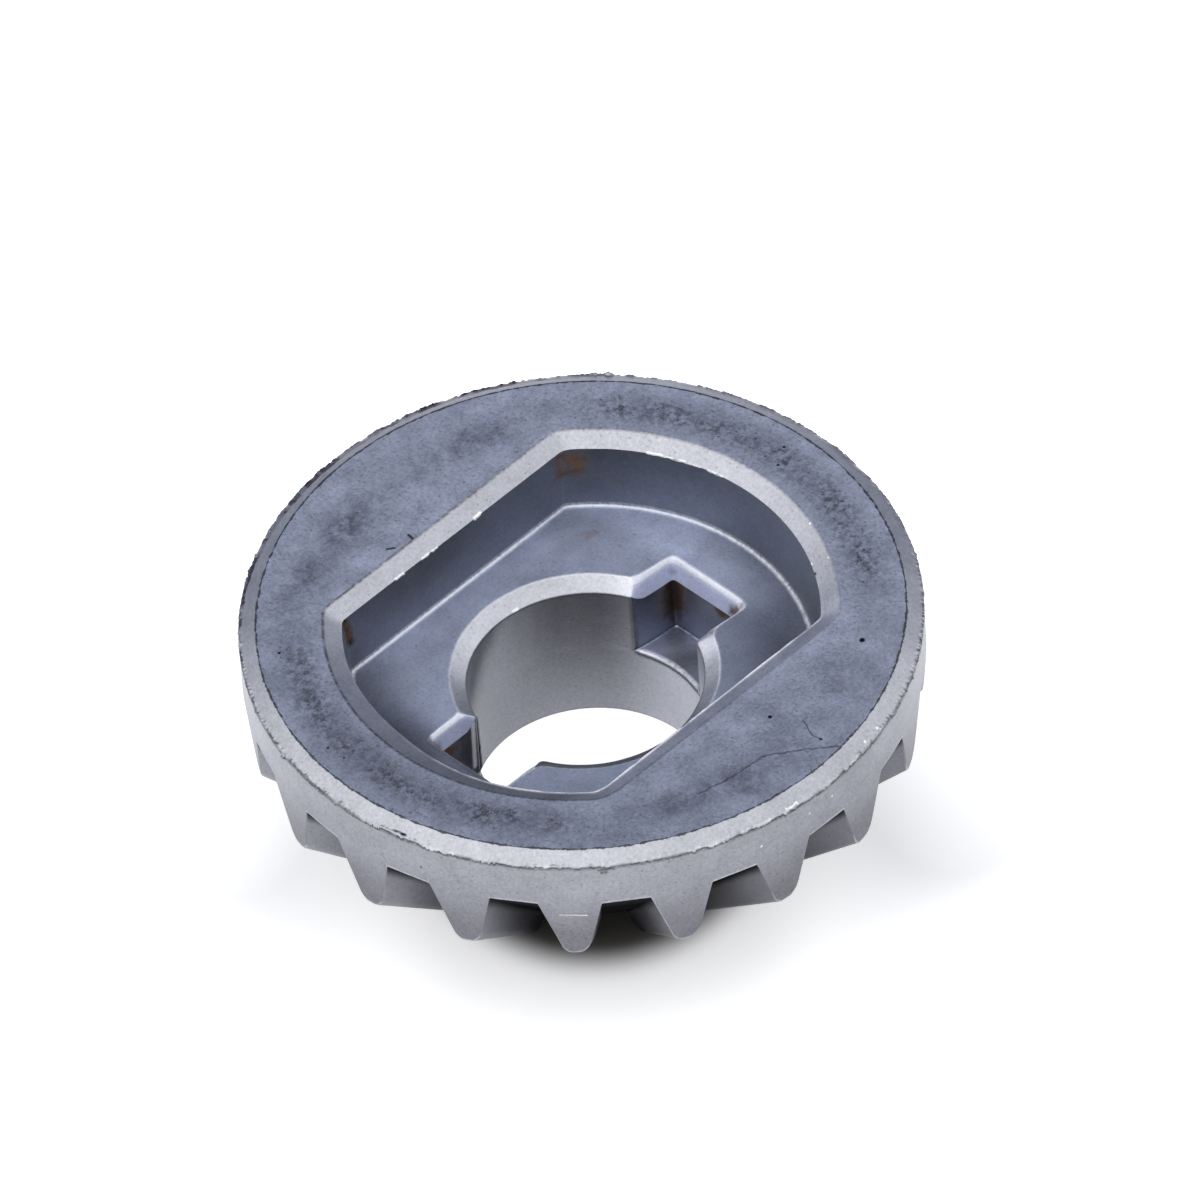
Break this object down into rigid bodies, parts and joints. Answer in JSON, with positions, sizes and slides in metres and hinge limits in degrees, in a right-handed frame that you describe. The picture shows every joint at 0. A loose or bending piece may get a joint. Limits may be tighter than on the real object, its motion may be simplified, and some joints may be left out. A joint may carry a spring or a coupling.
{
  "type": "bevel gear",
  "caption": "Solid straight bevel gear with a plain rim, a flat-sided drive recess in its back, a through bore and cross-pin slots; passes a mixer's drive round a corner.",
  "frame": {"origin": "on the bore axis, in the plane that the tooth toes rest on", "axes": "+Z along the bore, out of the back face; X along the flats of the drive recess and the pin slots; Y across the flats"},
  "size_m": [0.046, 0.046, 0.0188],
  "materials": {
    "sintered_steel": "as-pressed sintered steel, satin, blue-grey on the faces, bright on the chamfers, with pores and light rust"
  },
  "bodies": {
    "root": {"bevel_gear": "sintered_steel"}
  },
  "joints": []
}
